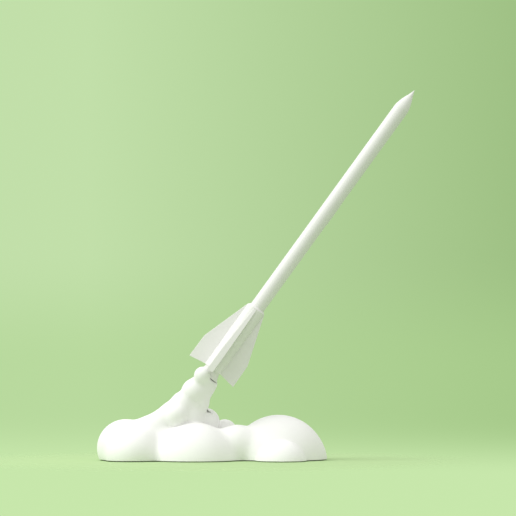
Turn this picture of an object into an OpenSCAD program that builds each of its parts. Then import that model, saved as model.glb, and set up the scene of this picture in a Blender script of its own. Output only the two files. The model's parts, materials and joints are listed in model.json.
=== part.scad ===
// Model rocket lifting off on a sculpted smoke cloud that is its display stand.
// Origin: middle of the stand's resting face. +Z up, +X the way the rocket leans,
// the rocket's front fin points to -Y. All sizes in millimetres.

/* [Rocket pose] */
// Angle of the rocket above the ground
climb_deg = 54.1; // [48:0.1:62]
// Roll of the rocket about its own axis
roll_deg = 2.6; // [0:0.1:10]
// Distance along the rocket axis from the ground to the tail end
tail_a = 183.5; // [178:0.5:200]
// Where the rocket axis meets the ground, along X
axis_x = -105.5; // [-112:0.5:-100]

/* [Body tube] */
// Length of the body tube
tube_l = 526; // [420:1:640]
// Outer diameter of the body tube
tube_od = 24.8; // [22:0.1:27]
// Wall of the body tube
tube_wall = 0.5; // [0.4:0.1:0.9]

/* [Nose] */
// Length of the nose cone between the tube and the tip
nose_l = 24; // [18:0.5:60]
// Length of the separate tip
tip_l = 13; // [8:0.5:30]
// Diameter of the tip where it meets the nose cone
tip_d = 9.4; // [8:0.1:12]
// Step from the tip out to the top of the nose cone
tip_step = 0.5; // [0.2:0.1:1]
// Crown of the nose cone's curve above a straight cone
nose_crown = 0.85; // [0.1:0.05:2]
// Length of the shoulder inside the tube
shoulder_l = 24; // [18:1:34]
// Wall of the nose cone
nose_wall = 1.6; // [1.2:0.1:2.4]
// Running clearance of the shoulder in the tube, on the radius
shoulder_gap = 0.08; // [0.05:0.01:0.1]

/* [Fin can] */
// Length of the fin can
can_l = 123.5; // [105:0.5:150]
// Thickness of the fin can's sleeve around the tube
can_wall = 4.05; // [3.2:0.05:6]
// Length of the bevel at the top of the fin can
can_bevel = 3.4; // [2:0.1:6]

/* [Fins] */
// How far the fin's tip edge stands out from the fin can
fin_reach = 26.7; // [20:0.1:40]
// Length of the tip edge ahead of the tail end
fin_tip_l = 36.5; // [28:0.5:45]
// How far the trailing corner sweeps behind the tail end
fin_sweep = 4.5; // [2:0.1:6]
// Extra reach of the trailing corner over the leading corner
fin_flare = 0.6; // [0:0.1:2]
// Thickness at the front of the root
fin_t_front = 5.2; // [3:0.1:7]
// Thickness along the tip edge and at the tail
fin_t_tail = 10.6; // [7:0.1:12]
// How deep the root tab sits in the fin can
fin_tab = 2.4; // [1.5:0.1:2.8]

/* [Motor mount] */
// Outer diameter of the motor casing
motor_od = 17.8; // [16.5:0.1:18]
// Length of the motor casing
motor_l = 70; // [60:1:80]
// Wall of the motor mount tube
mount_wall = 0.35; // [0.3:0.05:0.6]
// How far the motor stands out of the tail end
motor_proud = 4; // [3:0.5:6]
// How far the bell's flange covers the tail end beyond the tube
bell_lip = 1.1; // [0.6:0.1:2.5]
// How far the bell's mouth flares out beyond its flange
bell_spread = 4.9; // [3:0.1:7]
// Length of the bell behind the tail end
bell_l = 14; // [10:0.5:16]
// Wall of the bell
bell_wall = 1.5; // [1:0.1:2]

/* [Launch lugs] */
// Bore of the launch lugs
lug_id = 4; // [3.4:0.1:5]
// Wall of the launch lugs
lug_wall = 0.5; // [0.4:0.1:0.8]
// Length of each lug
lug_l = 38; // [25:1:60]
// Height of the forward lug's lower end above the tail end
lug_fore_a = 300; // [220:1:400]

/* [Display rod] */
// Diameter of the display rod
rod_d = 6; // [4:0.1:7.2]
// How far the rod reaches past the tail end
rod_reach = 57; // [50:1:60]
// Running clearance of the rod, on the radius
rod_gap = 0.05; // [0.02:0.01:0.1]

/* [Smoke cloud] */
// Radius of the left lobe
left_r = 46.8; // [40:0.1:56]
// Radius of the front dome
front_r = 70; // [60:0.5:76]
// Radius of the right dome
right_r = 78.6; // [66:0.1:84]
// Wall of the cloud shell
shell_wall = 3; // [2.4:0.1:4]
// Gap between the cloud's rim and the ground
rim_gap = 1.4; // [1:0.1:2]
// Thickness of the base plate
plate_t = 4; // [3:0.5:6]
// Height of the rubber feet
foot_h = 4; // [3:0.5:6]
// Radius of the rubber feet
foot_r = 9; // [7:0.5:12]

/* [Hidden] */
$fn = 96;

white = [0.93, 0.93, 0.92];
shade_white = [0.86, 0.87, 0.85];
kraft = [0.72, 0.58, 0.42];
steel = [0.62, 0.64, 0.66];
brass = [0.80, 0.66, 0.36];
clay = [0.66, 0.62, 0.58];

// Clearances
glue = 0.05;        // glued sleeve on tube, on the radius
seat = 0.1;         // cast part against cast part
clear = 0.3;        // free gap between pieces on different bodies
cut = 1;            // how far a cutting tool runs past the face it cuts

// Tube and nose
tube_r = tube_od / 2;
tube_ir = tube_r - tube_wall;
tip_r = tip_d / 2;
nose_top_r = tip_r + tip_step;
shoulder_r = tube_ir - shoulder_gap;
nose_steps = 14;
nose_heights = [for (i = [0:nose_steps]) nose_l * i / nose_steps];
stud_r = 1.5;
stud_deep = 6;      // stud length in the tip and in the nose cone
nose_top_land = 8;  // solid end of the nose cone that holds the stud
plug_t = 3;
eyelet_wire = 0.8;
eyelet_r = 3;

// Fin can
can_ir = tube_r + glue;
can_r = can_ir + can_wall;
can_top_r = tube_r + 0.5;
fin_span = can_r + fin_reach;
fin_angles = [-90 - roll_deg, -roll_deg, 90 - roll_deg, 180 - roll_deg];
fin_front_a = can_l - 2.5;
fin_root_a = fin_front_a - can_bevel * 0.4;

// Motor mount, heights above the tail end
rod_r = rod_d / 2;
mount_ir = motor_od / 2 + 0.1;
mount_r = mount_ir + mount_wall;
mount_a0 = 6;
mount_a1 = motor_l - motor_proud + 12;
casing_a0 = -motor_proud;
casing_a1 = motor_l - motor_proud;
casing_ir = motor_od / 2 - 2.4;
nozzle_plug_l = 12;
guide_grip = 10;
guide_l = casing_a1 - rod_reach + guide_grip;
ring_t = 3;
ring_r = tube_ir - glue;
ring_aft_a = 12;
ring_fore_a = mount_a1 - 8;
hook_w = 3.2;
hook_t = 0.9;
hook_gap = 0.15;
hook_deg = 45;
hook_foot_a = casing_a0 - clear - hook_t;
hook_top_a = casing_a1 + clear;
hook_catch = 1.5;
hook_slot = hook_w + 1;
hook_flex = 1.6;    // room for the foot of the hook to spring outward
hook_out_r = mount_r + hook_gap + hook_t;
band_l = 7;
band_a = hook_top_a - 14;
bell_spigot_l = 7;
bell_bore_r = hook_out_r + 0.25;
bell_r0 = tube_r + bell_lip;
bell_r1 = bell_r0 + bell_spread;

// Recovery gear, heights above the tail end
wadding_a = mount_a1 + 15;
wadding_l = 40;
chute_l = 150;
pack_gap = 0.9;
cord_r = 0.65;
coil_r = 8;
coil_l = 15;
plug_a = tube_l - shoulder_l - plug_t;
eyelet_a = plug_a - eyelet_r - 3;
coil_a = eyelet_a - eyelet_r - 4 - coil_l;
chute_a = coil_a - 4 - chute_l;
mount_pad_l = 26;
mount_pad_w = 12;
mount_pad_t = 0.8;

// Launch lugs sit behind the rocket, past the fin can's wall
lug_r = lug_id / 2 + lug_wall;
lug_c = can_r + lug_r;
lug_deg = 60 - roll_deg;
lug_aft_a = 62;

// Display rod, distances along the axis from the ground
rod_a0 = 16;
rod_a1 = tail_a + rod_reach;
socket_r = rod_r + 6;
socket_a1 = 46;
collar_r = rod_r + 4.5;
collar_l = 8;
bush_r = rod_r + 2;
bush_l = 14;
bush_a0 = tail_a - bell_l - 20;
socket_flange = [44, 34, 4];

// Smoke cloud: each lobe is [x, y, z, radius]
left_lobe = [-140, 8, 20, left_r];
front_dome = [-27.5, -16, -8, front_r];
right_dome = [109.5, 28, -5, right_r];
mid_lobe = [33, 20, 0, 50];
BASE_LOBES = [
    left_lobe, front_dome, right_dome, mid_lobe,
    [-128, -34, 9, 41.5],    // front-left puff
    [113, -45, -9, 42.5],    // front-right puff
    [142, 24, 1, 45],        // right-hand end
    [21, 40, 46, 20],        // high puff at the back
    [-10, 22, 62, 23],       // puff behind the column
    [-74, 34, 4, 50],        // back-left puff
    [-2, 48, 0, 50],         // back puff
    [78, 58, 0, 43],         // back-right puff
    [42, -4, 26, 31.5],      // puff over the gap between the domes
    [-112, 2, 36, 29.5],     // shoulder of the left lobe
];

// A puff of the column: share of the way up the rod, offset to +X and +Y, radius
function on_rod(p) = [
    axis_x + p[0] * tail_a * cos(climb_deg) + p[1] * sin(climb_deg), p[2],
    p[0] * tail_a * sin(climb_deg) - p[1] * cos(climb_deg), p[3]
];
NECK_LOBES = [
    on_rod([0.595, -4.35, 0, 22]),
    on_rod([0.682, 12.5, 3, 18.5])
];
STEM_LOBES = [
    on_rod([0.179, 7.75, 0, 37]),        // foot of the column
    on_rod([0.235, -21.4, 0, 26]),
    on_rod([0.363, -16.2, 0, 19.5]),
    on_rod([0.467, -9.6, -2, 21.5]),
    on_rod([0.481, -3.4, -15, 19.5]),
    on_rod([0.531, 15.3, 4, 25])
];
PLUME_LOBES = [
    on_rod([0.740, -3.3, -3, 20.5]),
    on_rod([0.799, 3.1, 2, 20.5]),
    on_rod([0.873, 3.1, 4, 19]),         // throat under the bell
    on_rod([0.904, -7.1, -15, 14])      // hood in front of the bell
];
CLOUD_LOBES = concat(BASE_LOBES, STEM_LOBES, NECK_LOBES);
COLUMN_LOBES = concat(NECK_LOBES, PLUME_LOBES);
// The upper casting sits on a flat neck and its spigot drops into the cloud
neck_drop = 59.5;   // from the tail end down to the neck
neck_a = tail_a - neck_drop;
neck_r = 34;
spigot_r = rod_r + 6;
neck_boss_r = spigot_r + 4;
neck_boss_l = 24;
spigot_l = 20;
rod_bore_r = rod_r + 0.6;   // loose round the rod; the bush guides it
fin_clear = 1;
cup_r = bell_r1 + 0.9;

// Stand fixings
plate_z = foot_h;
plate_top = plate_z + plate_t;
post_r = 5;
screw_r = 1.45;
screw_hole_r = 1.5;
screw_head_r = 2.9;
screw_head_h = 1.6;
screw_l = 14;
POST_LOBES = [left_lobe, BASE_LOBES[4], front_dome, mid_lobe, right_dome, BASE_LOBES[9]];
foot_edge = 7;      // from a foot's rim to the plate's edge
// A foot under a lobe, out towards deg from the lobe's middle
function foot_under(l, deg) =
    let (plate_r = sqrt(pow(l[3] - shell_wall - seat, 2) - pow(plate_z - l[2], 2)))
    let (out = plate_r - foot_r - foot_edge)
    [l[0] + out * cos(deg), l[1] + out * sin(deg)];
FOOT_POINTS = [
    [0, 0],
    foot_under(left_lobe, 180),
    foot_under(BASE_LOBES[4], -61),
    foot_under(front_dome, -104),
    foot_under(BASE_LOBES[5], -95),
    foot_under(BASE_LOBES[6], 0),
    foot_under(BASE_LOBES[11], 73),
    foot_under(BASE_LOBES[9], 90)
];
ballast_r = 30;
ballast_t = 9;

// Moves children from the rocket's frame, tail end at 0 and +Z to the nose
module on_rocket() {
    translate([axis_x, 0, 0])
        rotate([0, 90 - climb_deg, 0])
            translate([0, 0, tail_a])
                children();
}

// The same frame, counted from the ground
module on_axis() {
    translate([axis_x, 0, 0])
        rotate([0, 90 - climb_deg, 0])
            children();
}

// Plain tube standing on Z = a
module pipe(a, length, r_out, r_in) {
    translate([0, 0, a])
        difference() {
            cylinder(h = length, r = r_out);
            translate([0, 0, -cut])
                cylinder(h = length + 2 * cut, r = r_in);
        }
}

// ---------------------------------------------------------------- nose

// Radius of the nose cone at a height h above the tube, a crowned cone
function nose_r(h, inset = 0) =
    tube_r - (tube_r - nose_top_r) * h / nose_l + nose_crown * sin(180 * h / nose_l) - inset;

module nose_tip() {
    color(white)
        on_rocket()
            translate([0, 0, tube_l + nose_l])
                difference() {
                    rotate_extrude()
                        polygon([
                            [0, 0], [tip_r, 0], [tip_r - 0.1, 0.6],
                            [tip_r * 0.62, tip_l * 0.45], [tip_r * 0.2, tip_l * 0.9],
                            [tip_r * 0.1, tip_l * 0.97], [0, tip_l]
                        ]);
                    translate([0, 0, -cut])
                        cylinder(h = stud_deep + cut, r = stud_r + glue);
                }
}

module tip_stud() {
    color(brass)
        on_rocket()
            translate([0, 0, tube_l + nose_l - stud_deep])
                cylinder(h = 2 * stud_deep - clear, r = stud_r);
}

module nose_cone() {
    land = nose_l - nose_top_land;
    color(white)
        on_rocket()
            translate([0, 0, tube_l])
                difference() {
                    rotate_extrude()
                        polygon(concat(
                            [[0, -shoulder_l], [shoulder_r, -shoulder_l], [shoulder_r, 0]],
                            [for (h = nose_heights) [nose_r(h), h]],
                            [[0, nose_l]]
                        ));
                    rotate_extrude()
                        polygon(concat(
                            [[0, -shoulder_l - cut], [shoulder_r - nose_wall, -shoulder_l - cut]],
                            [[shoulder_r - nose_wall, 0]],
                            [for (h = nose_heights) if (h > 2 && h < land) [nose_r(h, nose_wall), h]],
                            [[0, land]]
                        ));
                    translate([0, 0, nose_l - stud_deep - clear])
                        cylinder(h = stud_deep + clear + cut, r = stud_r + glue);
                }
}

module nose_plug() {
    lip = shoulder_r - nose_wall - glue;
    color(white)
        on_rocket()
            translate([0, 0, tube_l - shoulder_l]) {
                difference() {
                    union() {
                        translate([0, 0, -plug_t])
                            cylinder(h = plug_t, r = shoulder_r - 0.3);
                        cylinder(h = 6, r = lip);
                    }
                    translate([0, 0, 1])
                        cylinder(h = 6, r = lip - 1.2);
                    translate([0, 0, -plug_t - cut])
                        cylinder(h = plug_t + 2 * cut + 1, r = eyelet_wire + glue);
                }
            }
}

module nose_eyelet() {
    color(steel)
        on_rocket() {
            translate([0, 0, eyelet_a])
                rotate([90, 0, 0])
                    rotate_extrude()
                        translate([eyelet_r, 0])
                            circle(r = eyelet_wire, $fn = 32);
            translate([0, 0, eyelet_a + eyelet_r])
                cylinder(h = plug_a + plug_t + 2 - eyelet_a - eyelet_r, r = eyelet_wire, $fn = 32);
            translate([0, 0, plug_a + plug_t + 1])
                cylinder(h = 1.6, r = 2.2, $fn = 32);
        }
}

// ---------------------------------------------------------------- airframe

module body_tube() {
    color(white)
        on_rocket()
            pipe(0, tube_l, tube_r, tube_ir);
}

// Wedge-section fin, root tab included, pointing to +X at angle 0
module fin_blank() {
    root = can_r - fin_tab;
    half_f = fin_t_front / 2;
    half_t = fin_t_tail / 2;
    intersection() {
        rotate([90, 0, 0])
            translate([0, 0, -fin_t_tail])
                linear_extrude(height = 2 * fin_t_tail)
                    polygon([
                        [root, 0], [can_r, 0], [fin_span + fin_flare, -fin_sweep],
                        [fin_span, fin_tip_l], [can_r, fin_root_a], [root, fin_root_a]
                    ]);
        rotate([90, 0, 90])
            linear_extrude(height = fin_span + fin_flare + cut)
                polygon([
                    [-half_t, -fin_sweep - cut], [half_t, -fin_sweep - cut], [half_t, fin_tip_l],
                    [half_f, fin_front_a], [-half_f, fin_front_a], [-half_t, fin_tip_l]
                ]);
    }
}

module fin_at(i) {
    on_rocket()
        rotate([0, 0, fin_angles[i]])
            fin_blank();
}

module fin_can() {
    color(white)
        on_rocket()
            difference() {
                union() {
                    cylinder(h = can_l - can_bevel, r = can_r);
                    translate([0, 0, can_l - can_bevel])
                        cylinder(h = can_bevel, r1 = can_r, r2 = can_top_r);
                }
                translate([0, 0, -cut])
                    cylinder(h = can_l + 2 * cut, r = can_ir);
                for (i = [0:3])
                    rotate([0, 0, fin_angles[i]])
                        fin_slot();
            }
}

// Slot for a root tab: the tab's own wedge, a glue gap wider all round
module fin_slot() {
    root = can_r - fin_tab - glue;
    half_f = fin_t_front / 2 + glue;
    half_t = fin_t_tail / 2 + glue;
    intersection() {
        translate([root, -fin_t_tail, -cut])
            cube([can_r, 2 * fin_t_tail, fin_root_a + glue + cut]);
        rotate([90, 0, 90])
            linear_extrude(height = 2 * can_r)
                polygon([
                    [-half_t, -2 * cut], [half_t, -2 * cut], [half_t, fin_tip_l],
                    [half_f, fin_front_a], [-half_f, fin_front_a], [-half_t, fin_tip_l]
                ]);
    }
}

module launch_lug(a) {
    on_rocket()
        rotate([0, 0, lug_deg])
            translate([lug_c, 0, 0])
                pipe(a, lug_l, lug_r, lug_id / 2);
}

// Balsa block that carries the forward lug clear of the fin can
module lug_standoff() {
    color(kraft)
        on_rocket()
            rotate([0, 0, lug_deg])
                difference() {
                    translate([0, -1.6, lug_fore_a])
                        cube([lug_c, 3.2, lug_l]);
                    translate([0, 0, lug_fore_a - cut])
                        cylinder(h = lug_l + 2 * cut, r = tube_r + glue);
                    translate([lug_c, 0, lug_fore_a - cut])
                        cylinder(h = lug_l + 2 * cut, r = lug_r + glue);
                }
}

// ---------------------------------------------------------------- motor mount

module motor_tube() {
    color(kraft)
        on_rocket()
            difference() {
                pipe(mount_a0, mount_a1 - mount_a0, mount_r, mount_ir);
                rotate([0, 0, hook_deg])
                    translate([mount_ir - cut, -hook_w / 2 - glue, hook_top_a - glue])
                        cube([cut + mount_r, hook_w + 2 * glue, hook_t + 2 * glue]);
            }
}

// Channel through a ring for the hook's leaf and for its outward flex
module hook_channel(a, length, reach) {
    rotate([0, 0, hook_deg])
        translate([0, -hook_slot / 2, a])
            cube([reach, hook_slot, length]);
}

module centring_ring(a, slotted) {
    color(kraft)
        on_rocket()
            difference() {
                pipe(a, ring_t, ring_r, mount_r + glue);
                if (slotted)
                    hook_channel(a - cut, ring_t + 2 * cut, tube_r + cut);
            }
}

module thrust_ring() {
    color(kraft)
        on_rocket()
            pipe(hook_top_a + hook_t + glue, 6, mount_ir - glue, mount_ir - 2.6);
}

module hook_band() {
    color(shade_white)
        on_rocket()
            difference() {
                pipe(band_a, band_l, ring_r, mount_r + glue);
                hook_channel(band_a - cut, band_l + 2 * cut, hook_out_r + 0.5);
            }
}

// Spring-steel hook: leaf along the motor tube, one tab over each end of the motor
module motor_hook() {
    leaf_r = mount_r + hook_gap;
    tab_l = hook_out_r - mount_ir + hook_catch;
    color(steel)
        on_rocket()
            rotate([0, 0, hook_deg]) {
                translate([leaf_r, -hook_w / 2, hook_foot_a])
                    cube([hook_t, hook_w, hook_top_a + hook_t - hook_foot_a]);
                translate([mount_ir - hook_catch, -hook_w / 2, hook_foot_a])
                    cube([tab_l, hook_w, hook_t]);
                translate([mount_ir - hook_catch, -hook_w / 2, hook_top_a])
                    cube([tab_l, hook_w, hook_t]);
            }
}

module motor_casing() {
    color(kraft)
        on_rocket()
            pipe(casing_a0, motor_l, motor_od / 2, casing_ir);
}

module motor_nozzle() {
    throat = rod_r + rod_gap;
    color(clay)
        on_rocket()
            translate([0, 0, casing_a0 + 1])
                difference() {
                    cylinder(h = nozzle_plug_l, r = casing_ir - glue);
                    translate([0, 0, -cut])
                        cylinder(h = nozzle_plug_l + 2 * cut, r = throat);
                    translate([0, 0, -cut])
                        cylinder(h = 3 + cut, r1 = throat + 1.6, r2 = throat);
                }
}

// Plug in the spent motor that takes the tip of the display rod
module rod_guide() {
    color(kraft)
        on_rocket()
            translate([0, 0, rod_reach - guide_grip])
                difference() {
                    cylinder(h = guide_l, r = casing_ir - glue);
                    translate([0, 0, -cut])
                        cylinder(h = guide_grip + cut, r = rod_r + rod_gap);
                }
}

module nozzle_bell() {
    mouth_in = bell_r1 - bell_wall;
    channel_a = hook_foot_a - cut;
    color(shade_white)
        on_rocket()
            difference() {
                rotate_extrude()
                    polygon([
                        [bell_bore_r, bell_spigot_l], [ring_r, bell_spigot_l], [ring_r, 0],
                        [bell_r0, 0],
                        [bell_r0 + bell_spread * 0.16, -bell_l * 0.3],
                        [bell_r0 + bell_spread * 0.5, -bell_l * 0.68],
                        [bell_r1, -bell_l], [mouth_in, -bell_l],
                        [mouth_in - bell_spread * 0.5, -bell_l * 0.66],
                        [bell_bore_r, -bell_l * 0.25]
                    ]);
                hook_channel(
                    channel_a, bell_spigot_l + cut - channel_a, hook_out_r + hook_flex + clear
                );
            }
}

// ---------------------------------------------------------------- recovery gear

module wadding() {
    color(white)
        on_rocket()
            translate([0, 0, wadding_a])
                cylinder(h = wadding_l, r = tube_ir - pack_gap);
}

module parachute() {
    color(shade_white)
        on_rocket()
            translate([0, 0, chute_a])
                cylinder(h = chute_l, r = tube_ir - 2.2);
}

// Elastic cord wound in a coil, with a lead up to the nose eyelet
module shock_cord() {
    color(white)
        on_rocket() {
            translate([0, 0, coil_a])
                rotate_extrude()
                    polygon([
                        [coil_r - 2 * cord_r, 0], [coil_r, 0],
                        [coil_r, coil_l], [coil_r - 2 * cord_r, coil_l]
                    ]);
            translate([coil_r - cord_r, 0, coil_a + coil_l])
                cylinder(h = eyelet_a - eyelet_r - 1.2 - coil_a - coil_l, r = cord_r, $fn = 24);
        }
}

// Folded paper pad glued to the tube wall, which anchors the cord
module cord_mount() {
    color(kraft)
        on_rocket()
            translate([0, 0, coil_a - mount_pad_l])
                intersection() {
                    pipe(0, mount_pad_l, tube_ir - glue, tube_ir - glue - mount_pad_t);
                    translate([-mount_pad_w / 2, 0, -cut])
                        cube([mount_pad_w, tube_r, mount_pad_l + 2 * cut]);
                }
}

// ---------------------------------------------------------------- display rod

module display_rod() {
    chamfer = 0.8;
    color(steel)
        on_axis() {
            translate([0, 0, rod_a0])
                cylinder(h = rod_a1 - rod_a0 - chamfer, r = rod_r);
            translate([0, 0, rod_a1 - chamfer])
                cylinder(h = chamfer, r1 = rod_r, r2 = rod_r - chamfer);
        }
}

module rod_collar() {
    color(steel)
        on_axis()
            difference() {
                pipe(socket_a1, collar_l, collar_r, rod_r + glue);
                translate([0, 0, socket_a1 + collar_l / 2])
                    rotate([0, 90, 90])
                        cylinder(h = collar_r + cut, r = screw_hole_r);
            }
}

module collar_screw() {
    color(steel)
        on_axis()
            translate([0, 0, socket_a1 + collar_l / 2])
                rotate([0, 90, 90])
                    translate([0, 0, rod_r + glue])
                        cylinder(h = collar_r - rod_r - 0.5, r = screw_r);
}

// ---------------------------------------------------------------- smoke cloud

module lobe(l, grow = 0) {
    translate([l[0], l[1], l[2]])
        sphere(r = l[3] + grow);
}

// Everything the bell and the turning fins sweep through above the column
module rocket_sweep() {
    on_rocket() {
        translate([0, 0, -bell_l - fin_clear])
            cylinder(h = bell_l + 4 * cup_r, r = cup_r);
        rotate_extrude()
            polygon([
                [0, -fin_clear], [can_r, -fin_clear],
                [fin_span + fin_flare + 2, -fin_sweep - fin_clear - 0.3],
                [fin_span + fin_flare + 2, 4 * cup_r], [0, 4 * cup_r]
            ]);
    }
}

// Space above the joint between the two castings
module above_neck() {
    on_axis()
        translate([0, 0, neck_a])
            cylinder(h = tail_a, r = neck_r);
}

module smoke_column() {
    color(white)
        difference() {
            union() {
                intersection() {
                    union()
                        for (l = COLUMN_LOBES)
                            lobe(l);
                    above_neck();
                }
                on_axis()
                    translate([0, 0, neck_a - spigot_l])
                        cylinder(h = spigot_l + cut, r = spigot_r);
            }
            on_axis()
                translate([0, 0, neck_a - spigot_l - cut])
                    cylinder(h = tail_a, r = rod_bore_r);
            on_axis()
                translate([0, 0, bush_a0])
                    cylinder(h = tail_a, r = bush_r + glue);
            rocket_sweep();
        }
}

module column_bush() {
    color(brass)
        on_axis()
            pipe(bush_a0, bush_l, bush_r, rod_r + rod_gap);
}

// Posts that take the base plate's screws
module shell_posts() {
    for (l = POST_LOBES)
        translate([l[0], l[1], plate_top])
            cylinder(h = l[2] + l[3] - shell_wall / 2 - plate_top, r = post_r);
}

module smoke_base() {
    color(white)
        difference() {
            intersection() {
                union() {
                    difference() {
                        union()
                            for (l = CLOUD_LOBES)
                                lobe(l);
                        for (l = CLOUD_LOBES)
                            lobe(l, -shell_wall);
                    }
                    shell_posts();
                    on_axis()
                        translate([0, 0, neck_a - neck_boss_l])
                            cylinder(h = neck_boss_l, r = neck_boss_r);
                }
                translate([-300, -200, rim_gap])
                    cube([600, 400, 200]);
            }
            above_neck();
            on_axis()
                translate([0, 0, socket_a1])
                    cylinder(h = neck_a - socket_a1 + cut, r = spigot_r + seat);
            for (l = POST_LOBES)
                translate([l[0], l[1], plate_top - cut])
                    cylinder(h = screw_l + cut, r = screw_hole_r);
        }
}

// Plate inside the cloud's rim: a slice of the cloud's own inside
module base_plate() {
    color(shade_white)
        difference() {
            intersection() {
                union()
                    for (l = CLOUD_LOBES)
                        lobe(l, -shell_wall - seat);
                translate([-300, -200, plate_z])
                    cube([600, 400, plate_t]);
            }
            for (l = POST_LOBES)
                translate([l[0], l[1], plate_z - cut])
                    cylinder(h = plate_t + 2 * cut, r = screw_hole_r + glue);
            for (l = POST_LOBES)
                translate([l[0], l[1], plate_z - glue])
                    cylinder(h = screw_head_h + glue, r1 = screw_head_r + glue, r2 = screw_hole_r + glue);
        }
}

module plate_screws() {
    color(steel)
        for (l = POST_LOBES)
            translate([l[0], l[1], plate_z]) {
                cylinder(h = screw_head_h, r1 = screw_head_r, r2 = screw_r);
                cylinder(h = plate_t + screw_l - 1, r = screw_r);
            }
}

module socket_corners() {
    for (dx = [-1, 1])
        for (dy = [-1, 1])
            translate([
                axis_x + socket_flange[0] / 4 + dx * (socket_flange[0] / 2 - 4),
                dy * (socket_flange[1] / 2 - 4), 0
            ])
                children();
}

// Angled socket that holds the foot of the rod
module rod_socket() {
    color(steel)
        difference() {
            union() {
                translate([
                    axis_x + socket_flange[0] / 4 - socket_flange[0] / 2,
                    -socket_flange[1] / 2, plate_top
                ])
                    cube(socket_flange);
                intersection() {
                    on_axis()
                        cylinder(h = socket_a1, r = socket_r);
                    translate([-300, -50, plate_top])
                        cube([600, 100, 100]);
                }
            }
            on_axis()
                translate([0, 0, rod_a0])
                    cylinder(h = socket_a1, r = rod_r + rod_gap);
            socket_corners()
                translate([0, 0, plate_top - cut])
                    cylinder(h = socket_flange[2] + 2 * cut, r = screw_hole_r);
        }
}

module socket_screws() {
    color(steel)
        socket_corners() {
            translate([0, 0, plate_top])
                cylinder(h = socket_flange[2] + 0.02, r = screw_r);
            translate([0, 0, plate_top + socket_flange[2]])
                cylinder(h = 2, r = screw_head_r);
        }
}

module ballast_ring() {
    color(steel)
        translate([mid_lobe[0], mid_lobe[1], 0])
            pipe(plate_top, ballast_t, ballast_r, post_r + seat);
}

module foot_pads() {
    color([0.2, 0.2, 0.2])
        for (p = FOOT_POINTS)
            translate([p[0], p[1], 0])
                cylinder(h = foot_h, r = foot_r);
}

// ---------------------------------------------------------------- nodes

nose_tip();
tip_stud();
nose_cone();
nose_plug();
nose_eyelet();
body_tube();
fin_can();
color(white) fin_at(0);  // fin_front
color(white) fin_at(1);  // fin_lower
color(white) fin_at(2);  // fin_rear
color(white) fin_at(3);  // fin_upper
color(white) launch_lug(lug_fore_a);  // launch_lug_fore
color(white) launch_lug(lug_aft_a);  // launch_lug_aft
lug_standoff();
motor_tube();
centring_ring(ring_fore_a, false);  // centring_ring_fore
centring_ring(ring_aft_a, true);  // centring_ring_aft
thrust_ring();
hook_band();
motor_hook();
motor_casing();
motor_nozzle();
rod_guide();
nozzle_bell();
wadding();
parachute();
shock_cord();
cord_mount();
display_rod();
rod_collar();
collar_screw();
smoke_column();
column_bush();
smoke_base();
base_plate();
plate_screws();
rod_socket();
socket_screws();
ballast_ring();
foot_pads();
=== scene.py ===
# %% [markdown]
# # A model rocket lifting off on its smoke cloud
# The object is a display model: a long white rocket with a thick fin can, held up by a hidden steel rod
# inside a cast column of smoke. The CAD frame fixes every size, so this lesson only gives it its looks.
# The first cell opens the frame. Each later step explains one piece or one finish.

# %% Open the frame
import json
import math

import bmesh
import bpy
import numpy as np
from mathutils import Matrix, Vector, noise


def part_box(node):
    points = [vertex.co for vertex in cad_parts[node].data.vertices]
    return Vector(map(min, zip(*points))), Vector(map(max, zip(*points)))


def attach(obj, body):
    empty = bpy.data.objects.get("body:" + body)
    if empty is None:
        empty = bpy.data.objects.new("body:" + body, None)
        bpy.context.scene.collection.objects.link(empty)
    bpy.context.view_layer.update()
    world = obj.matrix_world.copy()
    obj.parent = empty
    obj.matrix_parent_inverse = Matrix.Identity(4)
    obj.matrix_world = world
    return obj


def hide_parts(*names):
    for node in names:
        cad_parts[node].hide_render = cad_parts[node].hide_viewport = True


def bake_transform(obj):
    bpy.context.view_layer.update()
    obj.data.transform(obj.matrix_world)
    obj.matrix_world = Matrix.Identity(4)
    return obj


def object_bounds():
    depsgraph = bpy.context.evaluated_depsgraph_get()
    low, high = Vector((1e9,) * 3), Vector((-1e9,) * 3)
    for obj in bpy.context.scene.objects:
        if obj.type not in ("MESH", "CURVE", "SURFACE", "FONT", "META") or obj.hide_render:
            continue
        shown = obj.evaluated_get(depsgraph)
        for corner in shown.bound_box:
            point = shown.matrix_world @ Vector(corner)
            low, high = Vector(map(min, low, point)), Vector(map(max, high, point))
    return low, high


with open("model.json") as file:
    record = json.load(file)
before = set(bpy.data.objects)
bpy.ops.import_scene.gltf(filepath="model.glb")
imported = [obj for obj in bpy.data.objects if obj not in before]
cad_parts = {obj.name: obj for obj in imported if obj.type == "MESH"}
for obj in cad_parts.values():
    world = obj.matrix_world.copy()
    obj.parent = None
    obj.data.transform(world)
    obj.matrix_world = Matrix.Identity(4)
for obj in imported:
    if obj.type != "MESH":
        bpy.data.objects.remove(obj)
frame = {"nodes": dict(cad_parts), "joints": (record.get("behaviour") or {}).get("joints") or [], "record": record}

cad_low, cad_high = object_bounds()
MM = 0.001

# %% [markdown]
# ## The rocket's own axes
# The rocket leans, so it is easiest to build its parts upright and tip them afterwards. The slide joint
# that lifts the rocket off its rod runs along the rocket, and the turning joint's point is the middle of
# the tail end. Those two give a matrix from "tail end at zero, nose up" to the leaning rocket.

# %% Rocket axes from the joints
joints = {j["name"]: j for j in frame["joints"]}
along = Vector(joints["rocket_lift"]["axis"]).normalized()
tail = Vector(joints["rod_turn"]["pos_m"])
side = Vector((0, 1, 0)).cross(along).normalized()
ROCKET = Matrix.Translation(tail) @ Matrix((side, Vector((0, 1, 0)), along)).transposed().to_4x4()
lean = math.degrees(math.atan2(along.z, along.x))
print("the rocket climbs at", round(lean, 1), "degrees; tail end at", [round(v, 4) for v in tail])

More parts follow.
